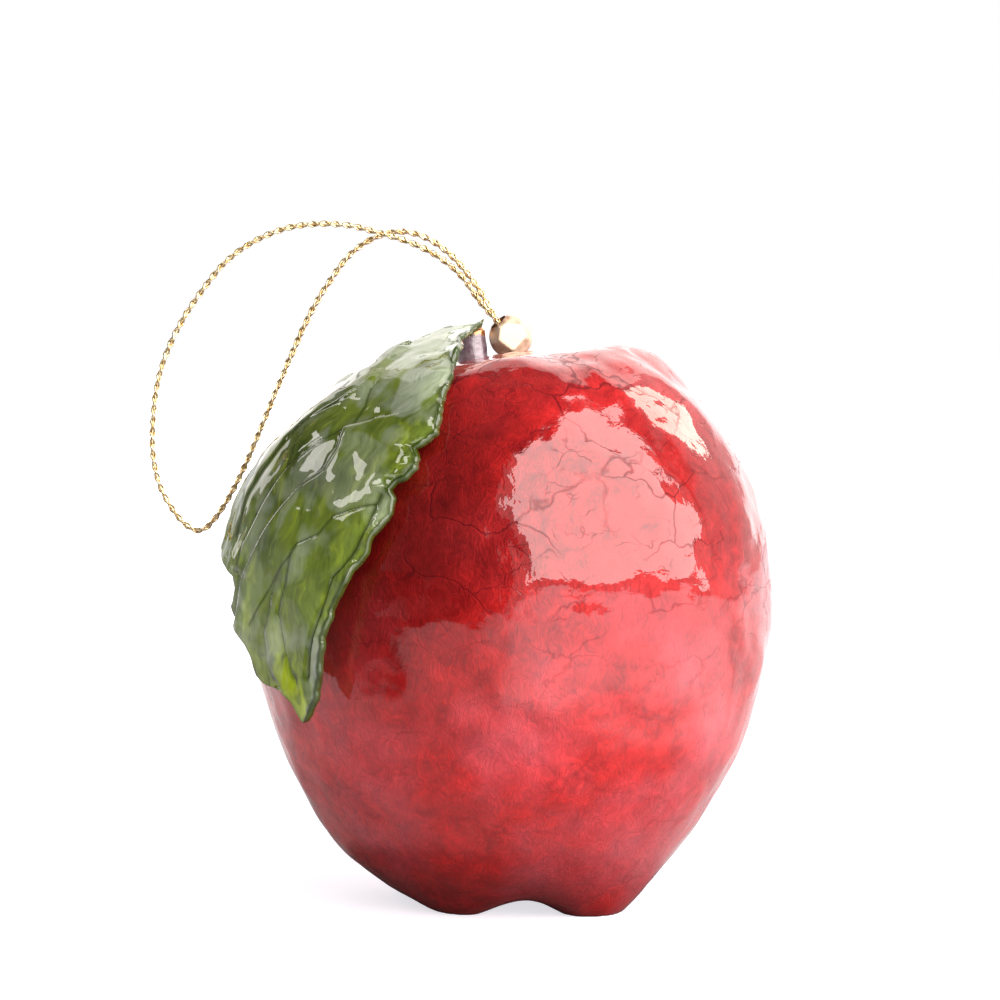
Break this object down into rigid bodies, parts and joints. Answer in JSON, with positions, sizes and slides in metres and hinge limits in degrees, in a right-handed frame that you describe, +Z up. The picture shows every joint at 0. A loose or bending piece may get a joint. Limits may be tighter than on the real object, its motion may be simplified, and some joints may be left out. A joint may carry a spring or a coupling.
{
  "type": "fruit ornament",
  "caption": "Hanging apple ornament: a hollow core covered with red capiz shell tiles, with a green leaf, a pearly stem and a gold cord loop threaded through a gold bead.",
  "frame": {"origin": "on the surface that the lobes stand on, under the middle of the box round the apple, its leaf and its bead, without the free cord loop", "axes": "+Z up, -Y towards the viewer of the picture, +X to the viewer's right; the leaf and the fallen loop are on the -X side"},
  "size_m": [0.0978, 0.0834, 0.1073],
  "materials": {
    "red_capiz": "red dyed capiz shell under thick high-gloss clear lacquer",
    "moulded_pulp": "raw moulded paper pulp",
    "mauve_pearl_capiz": "pearly mauve-grey capiz chips under gloss lacquer",
    "green_lacquered_leaf": "green leaf shell under thick wrinkled high-gloss lacquer",
    "gold_leaf": "champagne gold foil over a faceted bead, lightly rubbed",
    "gold_cord": "braided metallic gold thread with dark brown gaps",
    "grey_card": "uncoated grey card"
  },
  "bodies": {
    "apple": {"capiz_tile_01": "red_capiz", "capiz_tile_02": "red_capiz", "capiz_tile_03": "red_capiz", "capiz_tile_04": "red_capiz", "capiz_tile_05": "red_capiz", "capiz_tile_06": "red_capiz", "capiz_tile_07": "red_capiz", "capiz_tile_08": "red_capiz", "capiz_tile_09": "red_capiz", "capiz_tile_10": "red_capiz", "capiz_tile_11": "red_capiz", "capiz_tile_12": "red_capiz", "capiz_tile_13": "red_capiz", "capiz_tile_14": "red_capiz", "capiz_tile_15": "red_capiz", "capiz_tile_16": "red_capiz", "capiz_tile_17": "red_capiz", "capiz_tile_18": "red_capiz", "capiz_tile_19": "red_capiz", "capiz_tile_20": "red_capiz", "capiz_tile_21": "red_capiz", "capiz_tile_22": "red_capiz", "capiz_tile_23": "red_capiz", "capiz_tile_24": "red_capiz", "capiz_tile_25": "red_capiz", "capiz_tile_26": "red_capiz", "capiz_tile_27": "red_capiz", "capiz_tile_28": "red_capiz", "capiz_tile_29": "red_capiz", "capiz_tile_30": "red_capiz", "capiz_tile_31": "red_capiz", "capiz_tile_32": "red_capiz", "capiz_tile_33": "red_capiz", "capiz_tile_34": "red_capiz", "capiz_tile_35": "red_capiz", "capiz_tile_36": "red_capiz", "capiz_tile_37": "red_capiz", "core_lower_half": "moulded_pulp", "core_upper_half": "moulded_pulp", "core_seam_band": "moulded_pulp", "stem": "mauve_pearl_capiz", "leaf": "green_lacquered_leaf", "cord_lead_front": "gold_cord", "cord_lead_rear": "gold_cord", "anchor_washer": "grey_card", "cord_knot": "gold_cord"},
    "loop": {"gold_bead": "gold_leaf", "hanging_loop": "gold_cord"}
  },
  "joints": [
    {"name": "loop_swing", "type": "hinge", "parent": "apple", "child": "loop", "pos_m": [0.00203, -0.00059, 0.08912], "axis": [0, 1, 0], "range_deg": [0, 110]}
  ]
}
